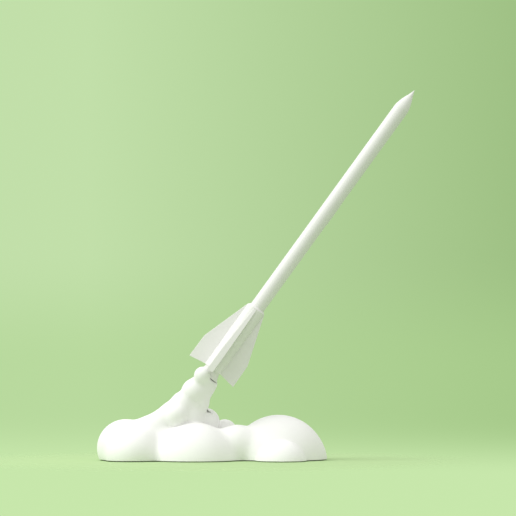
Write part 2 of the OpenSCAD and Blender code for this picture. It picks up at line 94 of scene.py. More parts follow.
# %% [markdown]
# ## Camera
# The model is seen from the front, level with the cloud, through a long lens that keeps the slim tube
# the same width from tail to nose. The aim is set from the object's own box.

# %% Camera
VIEW_DISTANCE = 4.0
FRAME_WIDTH = 0.8421
CAMERA_HEIGHT = 0.15
AIM_SHIFT = Vector((0.0029, 0, 0.0275))

camera_data = bpy.data.cameras.new("camera")
camera = bpy.data.objects.new("camera", camera_data)
bpy.context.scene.collection.objects.link(camera)
middle = (cad_low + cad_high) / 2
aim = Vector((middle.x, 0, middle.z)) + AIM_SHIFT
camera.location = (aim.x, aim.y - VIEW_DISTANCE, CAMERA_HEIGHT)
camera.rotation_euler = (aim - camera.location).to_track_quat("-Z", "Y").to_euler()
camera_data.lens = camera_data.sensor_width * VIEW_DISTANCE / FRAME_WIDTH
camera_data.clip_end = 60
bpy.context.scene.camera = camera
bpy.context.scene.view_settings.view_transform = "Standard"
print("lens", round(camera_data.lens), "mm, aimed at", [round(v, 3) for v in aim])

# %% [markdown]
# ## Floor and background
# A studio sweep has no visible edge. Here a floor disc fades out before it ends, and the world behind it
# carries the same pale green, painted lighter on the left where the studio light falls. From every side the model
# stands on the same ground.

# %% Small node helpers
def new_material(name):
    """An empty material with its output and a Principled BSDF."""
    material = bpy.data.materials.new(name)
    material.use_nodes = True
    tree = material.node_tree
    tree.nodes.clear()
    output = tree.nodes.new("ShaderNodeOutputMaterial")
    shader = tree.nodes.new("ShaderNodeBsdfPrincipled")
    tree.links.new(shader.outputs["BSDF"], output.inputs["Surface"])
    return material, tree, shader, output


def put(tree, kind, links=(), **settings):
    """Adds a node, sets its properties and input values, and links sockets into it."""
    node = tree.nodes.new(kind)
    for key, value in settings.items():
        if hasattr(node, key):
            setattr(node, key, value)
        else:
            node.inputs[key.replace("_", " ")].default_value = value
    for name, socket in links:
        tree.links.new(socket, node.inputs[name])
    return node


def ramp(tree, socket, stops):
    """A colour ramp with the given (position, colour) stops."""
    node = tree.nodes.new("ShaderNodeValToRGB")
    elements = node.color_ramp.elements
    while len(elements) < len(stops):
        elements.new(0.5)
    for element, (position, colour) in zip(elements, stops):
        element.position = position
        element.color = (*colour, 1)
    tree.links.new(socket, node.inputs[0])
    return node


# %% Floor
FLOOR_RADIUS = 1.3
FADE_START = 0.20
FADE_END = 0.52
FLOOR_GREEN = (0.42, 0.575, 0.295)

floor_mesh = bpy.data.meshes.new("floor")
bm = bmesh.new()
bmesh.ops.create_circle(bm, cap_ends=True, segments=96, radius=FLOOR_RADIUS)
bm.to_mesh(floor_mesh)
bm.free()
floor = bpy.data.objects.new("floor", floor_mesh)
bpy.context.scene.collection.objects.link(floor)

floor_paint, tree, shader, output = new_material("floor_paint")
place = put(tree, "ShaderNodeTexCoord")
reach = put(tree, "ShaderNodeVectorMath", [(0, place.outputs["Object"])], operation="LENGTH")
fade = put(tree, "ShaderNodeMapRange", [("Value", reach.outputs["Value"])],
           From_Min=FADE_START, From_Max=FADE_END, interpolation_type="SMOOTHERSTEP")
clear = put(tree, "ShaderNodeBsdfTransparent")
mix = put(tree, "ShaderNodeMixShader", [(0, fade.outputs["Result"]), (1, shader.outputs["BSDF"]),
                                        (2, clear.outputs["BSDF"])])
tree.links.new(mix.outputs["Shader"], output.inputs["Surface"])
shader.inputs["Base Color"].default_value = (*FLOOR_GREEN, 1)
shader.inputs["Roughness"].default_value = 0.9
shader.inputs["Specular IOR Level"].default_value = 0.1
floor_mesh.materials.append(floor_paint)
print("floor disc of", FLOOR_RADIUS, "m, fading out from", FADE_START, "m")

# %% World
# The backdrop carries painted light: a lit, pale green on the left runs to a shaded, deeper one on the right, and
# low down it mixes halfway to a middle green. Below the horizon it passes into the floor's own green.
# Painted light: the backdrop is a lit, paler green on the left and a shaded, deeper green on the right, as the
# studio light falls on the sweep.
BACKDROP_LIT_GREEN = (0.54, 0.74, 0.40)
BACKDROP_SHADED_GREEN = (0.35, 0.535, 0.235)
BACKDROP_LOW_GREEN = (0.43, 0.655, 0.285)
GROUND_GREEN = (0.575, 0.80, 0.41)
SHADE_FROM = -0.069
SHADE_TO = 0.105
LOW_GREEN_SHARE = 0.5
LOW_GREEN_TOP = 0.05
HORIZON_LOW = -0.042
HORIZON_HIGH = -0.013
HORIZON_TILT = 0.017
HORIZON_FALL = 2.0

world = bpy.data.worlds.new("studio")
bpy.context.scene.world = world
world.use_nodes = True
tree = world.node_tree
tree.nodes.clear()
output = put(tree, "ShaderNodeOutputWorld")
direction = put(tree, "ShaderNodeTexCoord")
parts = put(tree, "ShaderNodeSeparateXYZ", [(0, direction.outputs["Generated"])])
across = put(tree, "ShaderNodeMapRange", [("Value", parts.outputs["X"])],
             From_Min=SHADE_FROM, From_Max=SHADE_TO)
# Painted light fall-off across the backdrop, from the lit left to the shaded right.
upper = put(tree, "ShaderNodeMix", [("Factor", across.outputs["Result"])], data_type="RGBA")
upper.inputs[6].default_value = (*BACKDROP_LIT_GREEN, 1)
upper.inputs[7].default_value = (*BACKDROP_SHADED_GREEN, 1)
# Low down the backdrop mixes halfway to a middle green.
low_green_mix = put(tree, "ShaderNodeMapRange", [("Value", parts.outputs["Z"])], From_Min=0.0, From_Max=LOW_GREEN_TOP,
           To_Min=LOW_GREEN_SHARE, To_Max=0.0, interpolation_type="SMOOTHSTEP")
backdrop = put(tree, "ShaderNodeMix", [("Factor", low_green_mix.outputs["Result"]), (6, upper.outputs[2])],
               data_type="RGBA")
backdrop.inputs[7].default_value = (*BACKDROP_LOW_GREEN, 1)
tilt = put(tree, "ShaderNodeMath", [(0, parts.outputs["X"]), (2, parts.outputs["Z"])],
           operation="MULTIPLY_ADD")
tilt.inputs[1].default_value = HORIZON_TILT
level = put(tree, "ShaderNodeMapRange", [("Value", tilt.outputs[0])], From_Min=HORIZON_LOW,
            From_Max=HORIZON_HIGH, To_Min=1.0, To_Max=0.0, interpolation_type="SMOOTHSTEP")
ground = put(tree, "ShaderNodeMath", [(0, level.outputs["Result"])], operation="POWER")
ground.inputs[1].default_value = HORIZON_FALL
whole = put(tree, "ShaderNodeMix", [("Factor", ground.outputs[0]), (6, backdrop.outputs[2])],
            data_type="RGBA")
whole.inputs[7].default_value = (*GROUND_GREEN, 1)
seen = put(tree, "ShaderNodeBackground", [("Color", whole.outputs[2])], Strength=1.0)

# %% Light from the studio around the model
FRONT_FILL = (0.80, 0.80, 0.77)
RIGHT_FILL = (0.57, 0.59, 0.50)
BACK_FILL = (0.72, 0.86, 0.60)
TOP_FILL = (1.30, 1.30, 1.28)
GROUND_FILL = (0.50, 0.66, 0.40)
FILL_STRENGTH = 0.92
depth = put(tree, "ShaderNodeMapRange", [("Value", parts.outputs["Y"])], From_Min=-0.4, From_Max=0.5)
around = ramp(tree, depth.outputs["Result"], [(0, FRONT_FILL), (1, BACK_FILL)])
rightward = put(tree, "ShaderNodeMapRange", [("Value", parts.outputs["X"])], From_Min=0.1, From_Max=0.75)
sides = put(tree, "ShaderNodeMix", [("Factor", rightward.outputs["Result"]), (6, around.outputs["Color"])],
            data_type="RGBA")
sides.inputs[7].default_value = (*RIGHT_FILL, 1)
height = put(tree, "ShaderNodeMapRange", [("Value", parts.outputs["Z"])], From_Min=0.15, From_Max=0.9)
overhead = put(tree, "ShaderNodeMix", [("Factor", height.outputs["Result"]), (6, sides.outputs[2])],
               data_type="RGBA")
overhead.inputs[7].default_value = (*TOP_FILL, 1)
below = put(tree, "ShaderNodeMapRange", [("Value", parts.outputs["Z"])], From_Min=-0.05, From_Max=-0.35)
wrap = put(tree, "ShaderNodeMix", [("Factor", below.outputs["Result"]), (6, overhead.outputs[2])],
           data_type="RGBA")
wrap.inputs[7].default_value = (*GROUND_FILL, 1)
fill = put(tree, "ShaderNodeBackground", [("Color", wrap.outputs[2])], Strength=FILL_STRENGTH)
ray = put(tree, "ShaderNodeLightPath")
choice = put(tree, "ShaderNodeMixShader", [(0, ray.outputs["Is Camera Ray"]), (1, fill.outputs["Background"]),
                                           (2, seen.outputs["Background"])])
tree.links.new(choice.outputs["Shader"], output.inputs["Surface"])
print("world ready: pale green, lighter on the left, with a soft horizon")

# %% [markdown]
# ## Lights
# One soft light stands high on the left and a little in front. It gives the bright upper left of the
# tube and the shaded underside of the smoke. The studio's own glow does the rest.

# %% Lights
def soft_light(name, place, target, size, power, colour=(1, 1, 1)):
    data = bpy.data.lights.new(name, "AREA")
    data.shape = "DISK"
    data.size = size
    data.energy = power
    data.color = colour
    lamp = bpy.data.objects.new(name, data)
    bpy.context.scene.collection.objects.link(lamp)
    lamp.location = place
    lamp.rotation_euler = (Vector(target) - Vector(place)).to_track_quat("-Z", "Y").to_euler()
    return lamp


KEY_AIM = Vector((0.0, 0.0, 0.2))
KEY_FROM = Vector((-0.68, -0.24, 0.69)).normalized() * 3.0
soft_light("key_light", KEY_AIM + KEY_FROM, KEY_AIM, 1.7, 47)
print("key light from the upper left, and a little in front")

# %% [markdown]
# ## Finishes
# Everything on show is white, so the finishes differ in small things: how matt they are, how fine their
# grain is, and how much their tone wanders. One group makes those three for every white surface.

# %% Shared surface group
def surface_group():
    """Node group: slow tone changes, uneven gloss and fine grain, all from the object's own position."""
    group = bpy.data.node_groups.new("fine_surface", "ShaderNodeTree")
    face = group.interface
    face.new_socket("Colour", in_out="INPUT", socket_type="NodeSocketColor")
    for name, value in (("Tone Spread", 0.03), ("Tone Scale", 18.0), ("Roughness", 0.5),
                        ("Gloss Spread", 0.06),
                        ("Grain Scale", 900.0), ("Grain Depth", 0.5)):
        socket = face.new_socket(name, in_out="INPUT", socket_type="NodeSocketFloat")
        socket.default_value = value
    face.new_socket("Colour", in_out="OUTPUT", socket_type="NodeSocketColor")
    face.new_socket("Roughness", in_out="OUTPUT", socket_type="NodeSocketFloat")
    face.new_socket("Height", in_out="OUTPUT", socket_type="NodeSocketFloat")
    given = group.nodes.new("NodeGroupInput")
    made = group.nodes.new("NodeGroupOutput")
    place = put(group, "ShaderNodeTexCoord")
    slow = put(group, "ShaderNodeTexNoise", [("Vector", place.outputs["Object"]),
                                             ("Scale", given.outputs["Tone Scale"])], Detail=3.0)
    tone = put(group, "ShaderNodeMapRange", [("Value", slow.outputs["Fac"])], From_Min=0.3, From_Max=0.7,
               To_Min=0.0, To_Max=1.0)
    amount = put(group, "ShaderNodeMath", [(0, tone.outputs["Result"]), (1, given.outputs["Tone Spread"])],
                 operation="MULTIPLY")
    level = put(group, "ShaderNodeMath", [(1, amount.outputs[0])], operation="SUBTRACT")
    level.inputs[0].default_value = 1.0
    tinted = put(group, "ShaderNodeMix", data_type="RGBA", blend_type="MULTIPLY")
    tinted.inputs[0].default_value = 1.0
    group.links.new(given.outputs["Colour"], tinted.inputs[6])
    group.links.new(level.outputs[0], tinted.inputs[7])
    group.links.new(tinted.outputs[2], made.inputs["Colour"])
    gloss = put(group, "ShaderNodeTexNoise", [("Vector", place.outputs["Object"])], Scale=60.0, Detail=4.0)
    wander = put(group, "ShaderNodeMath", [(0, gloss.outputs["Fac"]), (1, given.outputs["Gloss Spread"])],
                 operation="MULTIPLY")
    rough = put(group, "ShaderNodeMath", [(0, wander.outputs[0]), (1, given.outputs["Roughness"])],
                operation="ADD")
    group.links.new(rough.outputs[0], made.inputs["Roughness"])
    grain = put(group, "ShaderNodeTexNoise", [("Vector", place.outputs["Object"]),
                                              ("Scale", given.outputs["Grain Scale"])], Detail=2.0)
    height = put(group, "ShaderNodeMath", [(0, grain.outputs["Fac"]), (1, given.outputs["Grain Depth"])],
                 operation="MULTIPLY")
    group.links.new(height.outputs[0], made.inputs["Height"])
    return group


FINE_SURFACE = surface_group()

# %% Spiral seam of rolled card
def wrap_group():
    """Node group: a thin line that winds round the rocket's axis, where one turn of card meets the next."""
    group = bpy.data.node_groups.new("card_wrap", "ShaderNodeTree")
    for name, value in (("Pitch", 0.06), ("Width", 0.012)):
        socket = group.interface.new_socket(name, in_out="INPUT", socket_type="NodeSocketFloat")
        socket.default_value = value
    group.interface.new_socket("Seam", in_out="OUTPUT", socket_type="NodeSocketFloat")
    given = group.nodes.new("NodeGroupInput")
    made = group.nodes.new("NodeGroupOutput")
    place = put(group, "ShaderNodeTexCoord")
    moved = put(group, "ShaderNodeVectorMath", [(0, place.outputs["Object"])], operation="SUBTRACT")
    moved.inputs[1].default_value = tail
    spans = []
    for direction in (side, Vector((0, 1, 0)), along):
        span = put(group, "ShaderNodeVectorMath", [(0, moved.outputs["Vector"])], operation="DOT_PRODUCT")
        span.inputs[1].default_value = direction
        spans.append(span.outputs["Value"])
    angle = put(group, "ShaderNodeMath", [(0, spans[1]), (1, spans[0])], operation="ARCTAN2")
    turn = put(group, "ShaderNodeMath", [(0, angle.outputs[0])], operation="DIVIDE")
    turn.inputs[1].default_value = 2 * math.pi
    rise = put(group, "ShaderNodeMath", [(0, spans[2]), (1, given.outputs["Pitch"])], operation="DIVIDE")
    wound = put(group, "ShaderNodeMath", [(0, rise.outputs[0]), (1, turn.outputs[0])], operation="SUBTRACT")
    share = put(group, "ShaderNodeMath", [(0, wound.outputs[0])], operation="PINGPONG")
    share.inputs[1].default_value = 0.5
    line = put(group, "ShaderNodeMapRange",
               [("Value", share.outputs[0]), ("From Max", given.outputs["Width"])],
               To_Min=1.0, To_Max=0.0, interpolation_type="SMOOTHSTEP")
    group.links.new(line.outputs["Result"], made.inputs["Seam"])
    return group


CARD_WRAP = wrap_group()

# %% Finishes
def finish(name, colour, roughness, tone=0.03, tone_scale=18.0, gloss=0.06, grain=900.0, depth=0.5,
           bump=0.05 * MM, metallic=0.0, sheen=0.0, wrap=None):
    """A material whose colour, roughness and bump come from the shared group, with a card seam if wanted."""
    material, tree, shader, _ = new_material(name)
    group = put(tree, "ShaderNodeGroup", node_tree=FINE_SURFACE)
    values = {"Colour": (*colour, 1), "Tone Spread": tone, "Tone Scale": tone_scale, "Roughness": roughness,
              "Gloss Spread": gloss, "Grain Scale": grain, "Grain Depth": depth}
    for key, value in values.items():
        group.inputs[key].default_value = value
    tree.links.new(group.outputs["Colour"], shader.inputs["Base Color"])
    tree.links.new(group.outputs["Roughness"], shader.inputs["Roughness"])
    height = group.outputs["Height"]
    if wrap:
        seam = put(tree, "ShaderNodeGroup", node_tree=CARD_WRAP)
        seam.inputs["Pitch"].default_value = wrap
        groove = put(tree, "ShaderNodeMath", [(0, seam.outputs["Seam"]), (2, height)],
                     operation="MULTIPLY_ADD")
        groove.inputs[1].default_value = -1.5
        height = groove.outputs[0]
    relief = put(tree, "ShaderNodeBump", [("Height", height)], Distance=bump, Strength=0.6)
    tree.links.new(relief.outputs["Normal"], shader.inputs["Normal"])
    shader.inputs["Metallic"].default_value = metallic
    shader.inputs["Sheen Weight"].default_value = sheen
    return material


WHITE_CAST = finish("smoke_white", (0.89, 0.885, 0.88), 0.62, tone=0.02, grain=700.0)
WHITE_MOULDED = finish("moulded_white", (0.81, 0.805, 0.79), 0.42, tone=0.015, grain=1500.0, bump=0.02 * MM)
WHITE_PAPER = finish("painted_card", (0.81, 0.805, 0.79), 0.46, tone=0.02, grain=1100.0, bump=0.03 * MM)
ROLLED_CARD = finish("painted_tube", (0.81, 0.805, 0.79), 0.46, tone=0.02, grain=1100.0,
                     bump=0.04 * MM, wrap=0.068)
ROLLED_KRAFT = finish("brown_tube", (0.50, 0.34, 0.20), 0.85, tone=0.18, tone_scale=60.0,
                      grain=1300.0, wrap=0.045)
KRAFT = finish("brown_card", (0.50, 0.34, 0.20), 0.85, tone=0.18, tone_scale=60.0, grain=1300.0)
BALSA = finish("bare_balsa", (0.62, 0.47, 0.30), 0.8, tone=0.2, tone_scale=90.0)
STEEL = finish("turned_steel", (0.60, 0.61, 0.63), 0.28, tone=0.05, metallic=1.0, bump=0.01 * MM)
BRASS = finish("turned_brass", (0.78, 0.60, 0.28), 0.3, tone=0.06, metallic=1.0, bump=0.01 * MM)
CLAY = finish("pressed_clay", (0.30, 0.27, 0.24), 0.9, tone=0.35, tone_scale=120.0, grain=600.0)
TISSUE = finish("tissue", (0.84, 0.84, 0.82), 0.9, tone=0.05, tone_scale=80.0)
CLOTH = finish("canopy_cloth", (0.80, 0.81, 0.79), 0.7, tone=0.05, sheen=0.3)
ELASTIC = finish("white_elastic", (0.80, 0.79, 0.75), 0.8, tone=0.08, tone_scale=200.0, sheen=0.2)
RUBBER = finish("pad_rubber", (0.03, 0.03, 0.03), 0.8, tone=0.2)
print("finishes:", len([m for m in bpy.data.materials]))

# %% [markdown]
# ## Dressing the CAD pieces
# Turned and tubular parts come from the CAD with their true shape, so they only need their finish. The
# record says which finish slot each one has.

# %% Dress every CAD node
SLOT_FINISH = {
    "white_paper": WHITE_PAPER, "white_moulding": WHITE_MOULDED, "bell_moulding": WHITE_MOULDED,
    "smoke_cast": WHITE_CAST, "kraft_card": KRAFT, "balsa": BALSA, "spring_steel": STEEL, "steel": STEEL,
    "brass": BRASS, "fired_clay": CLAY, "tissue": TISSUE, "canopy_cloth": CLOTH, "elastic": ELASTIC,
    "pad_rubber": RUBBER,
}
TUBE_FINISH = {"body_tube": ROLLED_CARD, "motor_tube": ROLLED_KRAFT}
node_slot = {s["node"]: s["material_slot"] for s in frame["record"]["subparts"]}
for node, piece in frame["nodes"].items():
    for slot in piece.material_slots:
        slot.material = TUBE_FINISH.get(node, SLOT_FINISH[node_slot[node]])
print("dressed", len(node_slot), "nodes")

# %% [markdown]
# ## The smoke
# Real smoke here is a casting: round puffs that flow into each other with soft valleys. Each puff is a
# ball, and a smooth union of all the balls' distances gives one skin. The skin is found on a grid of
# small cells, one point in each cell it passes through, and then every point is moved onto it exactly.

# %% Puffs, in millimetres: x, y, z, radius, and how softly each flows into the ones before it
PUFFS = [
    (109.5, 28, -5, 78.6, 4), (33, 20, 0, 50, 12), (78, 58, 0, 43, 8), (142, 24, 1, 45, 8),
    (113, -45, -9, 42.5, 5), (42, -4, 26, 31.5, 26), (-2, 48, 0, 50, 8), (21, 40, 46, 20, 5),
    (-140, 8, 20, 46.8, 8), (-74, 34, 4, 50, 8), (-128, -34, 9, 41.5, 22), (-114, -24, 27, 30, 16),
    (-27.5, -16, -8, 70, 24),
    (-80, 0, 22, 37, 12), (-112, 2, 36, 29.5, 14), (-97.5, 0, 47.5, 26, 16), (-79.5, 0, 63.5, 19.5, 18),
    (-63, -2, 75, 21.5, 16), (-56.5, -15, 73.5, 19.5, 5), (-36, 4, 70, 25, 8), (-10, 22, 62, 23, 5),
    (-45, 0, 91, 22, 14), (-22, 3, 94, 18.5, 10), (-28.5, -3, 112, 20.5, 10), (-17, 2, 117, 20.5, 12),
    (-9, 4, 128, 19, 10), (-14, -15, 138.5, 14, 12),
]


def smoke_distance(points):
    """Distance to the skin of all puffs, negative inside, with each valley filled in a little."""
    total = None
    for x, y, z, r, soft in np.array(PUFFS) * MM:
        gap = np.sqrt((points[:, 0] - x) ** 2 + (points[:, 1] - y) ** 2 + (points[:, 2] - z) ** 2) - r
        if total is None:
            total = gap
            continue
        near = np.maximum(soft - np.abs(total - gap), 0)
        total = np.minimum(total, gap) - near ** 3 / (6 * soft ** 2)
    return total


puffs = np.array(PUFFS) * MM
print("puffs:", len(puffs))

# %% Room for the bell and for the turning fins
CUP_RADIUS = 19.3 * MM
CUP_FLOOR = -15.0 * MM
FIN_CLEAR = -1.0 * MM
CAN_RADIUS = 16.5 * MM
SPAN = 45.8 * MM
SPAN_CLEAR = -5.8 * MM
RIM_ROUND = 1.0 * MM
to_rocket = np.array(ROCKET.inverted())


def sweep_distance(points):
    """Distance to the space that the bell and the fins need, negative inside it."""
    local = points @ to_rocket[:3, :3].T + to_rocket[:3, 3]
    radius = np.hypot(local[:, 0], local[:, 1])
    height = local[:, 2]
    cup = np.maximum(radius - CUP_RADIUS, CUP_FLOOR - height)
    slope = np.clip((radius - CAN_RADIUS) / (SPAN - CAN_RADIUS), 0, 1)
    fins = np.maximum(FIN_CLEAR + (SPAN_CLEAR - FIN_CLEAR) * slope - height, radius - SPAN)
    return np.minimum(cup, fins)


def cloud_distance(points):
    """The smoke less the rocket's room, with the edge between them rounded."""
    smoke = smoke_distance(points)
    room = -sweep_distance(points)
    return RIM_ROUND * np.logaddexp(smoke / RIM_ROUND, room / RIM_ROUND)


# %% Skin from a distance
def skin(distance, low, high, cell):
    """Points and quads of the surface where distance is zero, one point per crossed cell."""
    counts = [int(math.ceil((h - l) / cell)) + 1 for l, h in zip(low, high)]
    axes = [l + cell * np.arange(n) for l, n in zip(low, counts)]
    grid = np.stack(np.meshgrid(*axes, indexing="ij"), axis=-1)
    value = np.concatenate([distance(slab.reshape(-1, 3)) for slab in grid]).reshape(counts)
    inside = value < 0
    cells = tuple(n - 1 for n in counts)
    summed = np.zeros(cells + (3,))
    crossings = np.zeros(cells)
    edges = []
    for axis in range(3):
        first = [slice(None)] * 3
        second = [slice(None)] * 3
        first[axis] = slice(0, -1)
        second[axis] = slice(1, None)
        a, b = value[tuple(first)], value[tuple(second)]
        crossed = (a < 0) != (b < 0)
        share = np.where(crossed, a / np.where(crossed, a - b, 1), 0)
        where = grid[tuple(first)].copy()
        where[..., axis] += share * cell
        others = [k for k in range(3) if k != axis]
        for du in (0, 1):
            for dv in (0, 1):
                pick = [slice(None)] * 3
                pick[others[0]] = slice(du, du + cells[others[0]])
                pick[others[1]] = slice(dv, dv + cells[others[1]])
                hit = crossed[tuple(pick)]
                summed += np.where(hit[..., None], where[tuple(pick)], 0)
                crossings += hit
        edges.append((axis, others, crossed, a < 0))
    used = crossings > 0
    number = -np.ones(cells, dtype=int)
    number[used] = np.arange(used.sum())
    points = summed[used] / crossings[used][:, None]
    quads = []
    for axis, others, crossed, starts_inside in edges:
        spots = np.argwhere(crossed)
        u, v = others
        keep = (spots[:, u] > 0) & (spots[:, v] > 0) & (spots[:, u] < cells[u]) & (spots[:, v] < cells[v])
        spots = spots[keep]
        corners = []
        for du, dv in ((-1, -1), (0, -1), (0, 0), (-1, 0)):
            at = spots.copy()
            at[:, u] += du
            at[:, v] += dv
            corners.append(number[tuple(at.T)])
        quad = np.stack(corners, axis=1)
        flip = starts_inside[tuple(spots.T)] == (axis == 1)
        quad[flip] = quad[flip][:, ::-1]
        quads.append(quad)
    return points, np.concatenate(quads)


def settle(points, distance, rounds=4, step=0.05 * MM):
    """Moves every point along the slope of the distance until it lies on the skin."""
    for _ in range(rounds):
        value = distance(points)
        slope = np.zeros_like(points)
        for axis in range(3):
            nudge = np.zeros(3)
            nudge[axis] = step
            slope[:, axis] = (distance(points + nudge) - distance(points - nudge)) / (2 * step)
        points = points - (value / np.maximum((slope ** 2).sum(1), 0.2))[:, None] * slope
    return points


# %% [markdown]
# ## Two castings
# The CAD joins the castings at a flat neck, square to the rod, high in the column. The same plane splits
# the skin here: the upper casting is closed by a flat face, and the lower one is a shell with an open
# underside, as a moulded cloud is.

# %% Build the smoke skin
CELL = 1.5 * MM
NECK = (124 - 183.5) * MM
NECK_RADIUS = 62 * MM
NECK_MARGIN = 8 * MM
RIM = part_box("smoke_base")[0].z
SHELL = 3 * MM
low = (puffs[:, :3] - puffs[:, 3:4]).min(0) - 2 * CELL
high = (puffs[:, :3] + puffs[:, 3:4]).max(0) + 6 * CELL
low[2] = RIM - 6 * CELL
smoke_points, smoke_quads = skin(cloud_distance, low, high, CELL)
smoke_points = settle(smoke_points, cloud_distance)
print("smoke skin:", len(smoke_points), "points,", len(smoke_quads), "quads")

# %% Split it at the neck
def smoke_mesh(name):
    mesh = bpy.data.meshes.new(name)
    mesh.from_pydata(smoke_points.tolist(), [], smoke_quads.tolist())
    mesh.update()
    bm = bmesh.new()
    bm.from_mesh(mesh)
    bpy.data.meshes.remove(mesh)
    return bm


def put_on_show(bm, name, body, nodes, material, smooth=True):
    """Makes the piece, lets it ride on a body, if one is named, and stand for its CAD nodes."""
    mesh = bpy.data.meshes.new(name)
    bm.to_mesh(mesh)
    bm.free()
    mesh.materials.append(material)
    for face in mesh.polygons:
        face.use_smooth = smooth
    piece = bpy.data.objects.new(name, mesh)
    bpy.context.scene.collection.objects.link(piece)
    if body:
        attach(piece, body)
    if nodes:
        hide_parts(*nodes)
    return piece


def in_rocket(point):
    return ROCKET.inverted() @ point


def near_column(point):
    local = in_rocket(point)
    return math.hypot(local.x, local.y) < NECK_RADIUS and local.z > NECK - NECK_MARGIN


def sharp_edges(piece, degrees):
    """Keeps edges steeper than this angle crisp while the rest shades smoothly."""
    bm = bmesh.new()
    bm.from_mesh(piece.data)
    for edge in bm.edges:
        if len(edge.link_faces) == 2:
            edge.smooth = math.degrees(edge.calc_face_angle(0)) < degrees
    bm.to_mesh(piece.data)
    bm.free()


def ring(bm, height, radius, steps=64):
    """A ring of edges round the rod, at a height above the tail end."""
    turn = [2 * math.pi * k / steps for k in range(steps)]
    spots = [ROCKET @ Vector((radius * math.cos(a), radius * math.sin(a), height)) for a in turn]
    verts = [bm.verts.new(spot) for spot in spots]
    return [bm.edges.new((verts[k - 1], verts[k])) for k in range(steps)]


def cut_rims(bm):
    """The skin's rims round the cut at the neck, as lists of edges, the longest first.

    A dict keeps the mesh's own order, which a set would not, so each run joins the same edges.
    """
    left = dict.fromkeys(e for e in bm.edges if e.is_boundary and near_column(e.verts[0].co))
    rims = []
    while left:
        rim, edge_ends = [], [left.popitem()[0]]
        while edge_ends:
            edge = edge_ends.pop()
            rim.append(edge)
            for other in [e for v in edge.verts for e in v.link_edges if e in left]:
                if left.pop(other, True) is None:
                    edge_ends.append(other)
        rims.append(rim)
    return sorted(rims, key=len, reverse=True)


def face_the_neck(bm, hole):
    """Joins the column's rim to the hole's ring, and closes the rims of any puff that the cut tops."""
    rims = cut_rims(bm)
    bmesh.ops.bridge_loops(bm, edges=rims[0] + hole)
    for rim in rims[1:]:
        bmesh.ops.holes_fill(bm, edges=rim)
    print("rims at the neck:", [len(rim) for rim in rims])


def on_cup_floor(point):
    local = in_rocket(point)
    return math.hypot(local.x, local.y) < MOUTH_R and abs(local.z - CUP_FLOOR) < MOUTH_DEPTH


def open_count(piece):
    """How many edges have only one face: none on a closed piece."""
    uses = {}
    for face in piece.data.polygons:
        for key in face.edge_keys:
            uses[key] = uses.get(key, 0) + 1
    return sum(1 for count in uses.values() if count == 1)


MOUTH_R = 9 * MM
MOUTH_DEPTH = 1 * MM
SPIGOT_R = 9 * MM
SEAT = 0.1 * MM
SPIGOT_LENGTH = 20 * MM
BOSS_LENGTH = 24 * MM
ROD_BORE = 3.6 * MM
BUSH_R = 5.05 * MM
BUSH_SEAT = (149.5 - 183.5) * MM
neck_point = ROCKET @ Vector((0, 0, NECK))

bm = smoke_mesh("lower")
column_verts = dict.fromkeys(v for v in bm.verts if near_column(v.co))
geometry = list(column_verts) + [e for e in bm.edges if all(v in column_verts for v in e.verts)]
geometry += [f for f in bm.faces if all(v in column_verts for v in f.verts)]
bmesh.ops.bisect_plane(bm, geom=geometry, plane_co=neck_point, plane_no=along, clear_outer=True)
spigot_hole = ring(bm, NECK, SPIGOT_R + SEAT)
face_the_neck(bm, spigot_hole)
sleeve_end = ring(bm, NECK - BOSS_LENGTH, SPIGOT_R + SEAT)
bmesh.ops.bridge_loops(bm, edges=spigot_hole + sleeve_end)
everything = bm.verts[:] + bm.edges[:] + bm.faces[:]
bmesh.ops.bisect_plane(bm, geom=everything, plane_co=(0, 0, RIM), plane_no=(0, 0, 1), clear_inner=True)
bmesh.ops.recalc_face_normals(bm, faces=bm.faces)
smoke_base = put_on_show(bm, "smoke_cloud", "stand", ["smoke_base"], WHITE_CAST)
wall = smoke_base.modifiers.new("wall", "SOLIDIFY")
wall.thickness = SHELL
wall.offset = -1
print("lower casting:", len(smoke_base.data.polygons), "faces")

bm = smoke_mesh("upper")
outside = [v for v in bm.verts if not near_column(v.co)]
bmesh.ops.delete(bm, geom=outside, context="VERTS")
everything = bm.verts[:] + bm.edges[:] + bm.faces[:]
bmesh.ops.bisect_plane(bm, geom=everything, plane_co=neck_point, plane_no=along, clear_inner=True)
spigot = ring(bm, NECK, SPIGOT_R)
face_the_neck(bm, spigot)
cup_floor = [v for v in bm.verts if on_cup_floor(v.co)]
bmesh.ops.delete(bm, geom=cup_floor, context="VERTS")
mouth = [e for e in bm.edges if e.is_boundary and in_rocket(e.verts[0].co).z > CUP_FLOOR - 2 * MOUTH_DEPTH]
steps = [(CUP_FLOOR, BUSH_R), (BUSH_SEAT, BUSH_R), (BUSH_SEAT, ROD_BORE), (NECK - SPIGOT_LENGTH, ROD_BORE),
         (NECK - SPIGOT_LENGTH, SPIGOT_R)]
rings = [mouth] + [ring(bm, height, radius) for height, radius in steps] + [spigot]
for upper_edges, lower_edges in zip(rings, rings[1:]):
    bmesh.ops.bridge_loops(bm, edges=upper_edges + lower_edges)
bmesh.ops.recalc_face_normals(bm, faces=bm.faces)
smoke_column = put_on_show(bm, "smoke_plume", "stand", ["smoke_column"], WHITE_CAST)
print("upper casting:", len(smoke_column.data.polygons), "faces, open edges:", open_count(smoke_column))

# %% [markdown]
# ## Fins
# Each fin is one moulded wedge: thin at the front of its root, thick along the tip edge and the tail. The
# CAD gives the flat faces. A moulding also has small rounded edges that catch the light, so the fin is
# rebuilt from its outline with a bevel, sunk a little way into the fin can as the root tab is.

